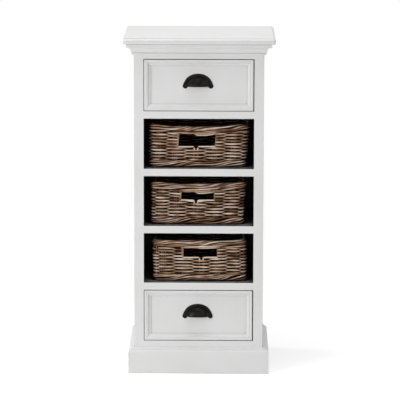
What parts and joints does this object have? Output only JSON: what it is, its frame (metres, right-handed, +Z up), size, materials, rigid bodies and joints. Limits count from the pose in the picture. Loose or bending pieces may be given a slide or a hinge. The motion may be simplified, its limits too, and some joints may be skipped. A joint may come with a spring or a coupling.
{
  "type": "basket storage unit",
  "caption": "Tall narrow painted wooden cabinet with moulded cornice and plinth, panelled drawers with cup pulls above and below, and open bays of woven baskets between them.",
  "frame": {"origin": "middle of the footprint on the floor, cornice overhang included", "axes": "+X to the right as you face the unit, +Y from the front to the back, +Z up; the front faces -Y"},
  "size_m": [0.5, 0.4, 1.12],
  "materials": {
    "white_paint": "satin white paint",
    "bare_wood": "sanded bare wood",
    "rattan": "dull natural cane",
    "dark_metal": "dark antique finish, half gloss"
  },
  "bodies": {
    "carcass": {"top_board": "white_paint", "cornice_front": "white_paint", "cornice_left": "white_paint", "cornice_right": "white_paint", "side_left": "white_paint", "side_right": "white_paint", "back_panel": "white_paint", "stile_left": "white_paint", "stile_right": "white_paint", "rail_top": "white_paint", "rail_1": "white_paint", "rail_2": "white_paint", "rail_3": "white_paint", "rail_4": "white_paint", "rail_bottom": "white_paint", "drawer_shelf": "white_paint", "shelf_1": "white_paint", "shelf_2": "white_paint", "shelf_3": "white_paint", "bottom_panel": "white_paint", "plinth_front": "white_paint", "plinth_left": "white_paint", "plinth_right": "white_paint", "plinth_back": "white_paint", "guides_upper": "bare_wood", "guides_lower": "bare_wood", "stops_upper": "bare_wood", "stops_lower": "bare_wood"},
    "drawer_upper": {"drawer_upper_front": "white_paint", "drawer_upper_moulding": "white_paint", "drawer_upper_side_left": "bare_wood", "drawer_upper_side_right": "bare_wood", "drawer_upper_back": "bare_wood", "drawer_upper_bottom": "bare_wood", "drawer_upper_cup_pull": "dark_metal", "drawer_upper_pull_screws": "dark_metal"},
    "drawer_lower": {"drawer_lower_front": "white_paint", "drawer_lower_moulding": "white_paint", "drawer_lower_side_left": "bare_wood", "drawer_lower_side_right": "bare_wood", "drawer_lower_back": "bare_wood", "drawer_lower_bottom": "bare_wood", "drawer_lower_cup_pull": "dark_metal", "drawer_lower_pull_screws": "dark_metal"},
    "basket_upper": {"basket_upper_wall": "rattan", "basket_upper_rim": "rattan", "basket_upper_foot": "rattan", "basket_upper_base": "rattan"},
    "basket_middle": {"basket_middle_wall": "rattan", "basket_middle_rim": "rattan", "basket_middle_foot": "rattan", "basket_middle_base": "rattan"},
    "basket_lower": {"basket_lower_wall": "rattan", "basket_lower_rim": "rattan", "basket_lower_foot": "rattan", "basket_lower_base": "rattan"}
  },
  "joints": [
    {"name": "drawer_upper_slide", "type": "slide", "parent": "carcass", "child": "drawer_upper", "axis": [0, -1, 0], "range_m": [0, 0.25]},
    {"name": "drawer_lower_slide", "type": "slide", "parent": "carcass", "child": "drawer_lower", "axis": [0, -1, 0], "range_m": [0, 0.25]},
    {"name": "basket_upper_slide", "type": "slide", "parent": "carcass", "child": "basket_upper", "axis": [0, -1, 0], "range_m": [0, 0.4]},
    {"name": "basket_middle_slide", "type": "slide", "parent": "carcass", "child": "basket_middle", "axis": [0, -1, 0], "range_m": [0, 0.4]},
    {"name": "basket_lower_slide", "type": "slide", "parent": "carcass", "child": "basket_lower", "axis": [0, -1, 0], "range_m": [0, 0.4]}
  ]
}
